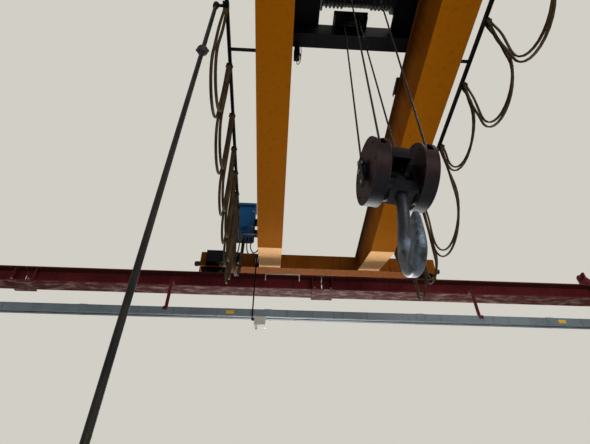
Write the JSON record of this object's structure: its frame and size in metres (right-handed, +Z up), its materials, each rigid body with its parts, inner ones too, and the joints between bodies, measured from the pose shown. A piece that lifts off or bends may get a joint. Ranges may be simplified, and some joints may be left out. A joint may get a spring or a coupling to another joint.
{
  "type": "overhead bridge crane",
  "caption": "Double-girder overhead bridge crane on runway beams, with a hoist trolley, a roped hook block, festoon cables and a hanging control pendant.",
  "frame": {"origin": "Middle of the underside of the seat plate under the far runway beam, where it bears on the building's corbel.", "axes": "+X along the runway, +Y along the girders towards the far runway, +Z up."},
  "size_m": [17.82, 12.38, 7.0449],
  "materials": {
    "orange_paint": "satin, dusty",
    "maroon_paint": "worn satin",
    "black_paint": "greasy satin",
    "blue_paint": "satin",
    "grey_paint": "dull",
    "yellow_plastic": "moulded",
    "rail_steel": "rolled, worn bright on top",
    "forged_steel": "forged, worn",
    "wire_rope": "greased strands",
    "brown_rubber": "dusty cable sheath",
    "black_rubber": "cable sheath"
  },
  "bodies": {
    "runway": {"runway_beam_far": "maroon_paint", "runway_beam_near": "maroon_paint", "runway_rail_far": "rail_steel", "runway_rail_near": "rail_steel", "runway_seats": "maroon_paint", "runway_stops": "maroon_paint", "power_duct": "grey_paint", "duct_hangers": "maroon_paint", "flange_staple": "grey_paint"},
    "bridge": {"girder_left": "orange_paint", "girder_right": "orange_paint", "carriage_far": "orange_paint", "carriage_near": "orange_paint", "travel_wheels": "black_paint", "carriage_buffers": "black_rubber", "travel_drive_far": "black_paint", "travel_drive_near": "black_paint", "trolley_rails": "rail_steel", "trolley_stops": "black_paint", "control_cabinet": "blue_paint", "cabinet_brackets": "black_paint", "junction_box": "black_paint", "collector_arm": "black_paint", "collector_trolley": "grey_paint", "track_left": "black_paint", "track_right": "black_paint", "carriers_left": "black_paint", "carriers_right": "black_paint", "festoon_left": "brown_rubber", "festoon_right": "brown_rubber", "supply_cable": "brown_rubber", "festoon_leads": "brown_rubber"},
    "trolley": {"trolley_frame": "black_paint", "trolley_wheels": "rail_steel", "trolley_drive": "black_paint", "trolley_buffers": "black_rubber", "tow_arm": "black_paint", "rope_drum": "forged_steel", "hoist_gearbox": "black_paint", "hoist_motor": "black_paint", "resistor_box": "black_paint", "balance_bracket": "black_paint", "balance_sheave": "forged_steel", "hoist_rope": "wire_rope"},
    "block": {"sheave_guards": "maroon_paint", "block_sheaves": "forged_steel", "block_cheeks": "black_paint", "block_axle": "forged_steel", "crosshead": "forged_steel"},
    "hook": {"hook": "forged_steel", "hook_nut": "forged_steel"},
    "pendant": {"pendant_carrier": "black_paint", "pendant_cable": "black_rubber", "pendant_station": "yellow_plastic"}
  },
  "joints": [
    {"name": "bridge_travel", "type": "slide", "parent": "runway", "child": "bridge", "axis": [1, 0, 0], "range_m": [-8.68, 2.98]},
    {"name": "trolley_travel", "type": "slide", "parent": "bridge", "child": "trolley", "axis": [0, 1, 0], "range_m": [-5.31, 3.49], "deforming": ["carriers_right", "festoon_right"]},
    {"name": "hook_lift", "type": "slide", "parent": "trolley", "child": "block", "axis": [0, 0, 1], "range_m": [-3, 2.6], "deforming": ["hoist_rope"]},
    {"name": "hook_swivel", "type": "hinge", "parent": "block", "child": "hook", "pos_m": [-0.01, -5.09, -2.435], "axis": [0, 0, 1], "continuous": true},
    {"name": "pendant_travel", "type": "slide", "parent": "bridge", "child": "pendant", "axis": [0, 1, 0], "range_m": [-4.9, 2], "deforming": ["carriers_left", "festoon_left"]}
  ]
}
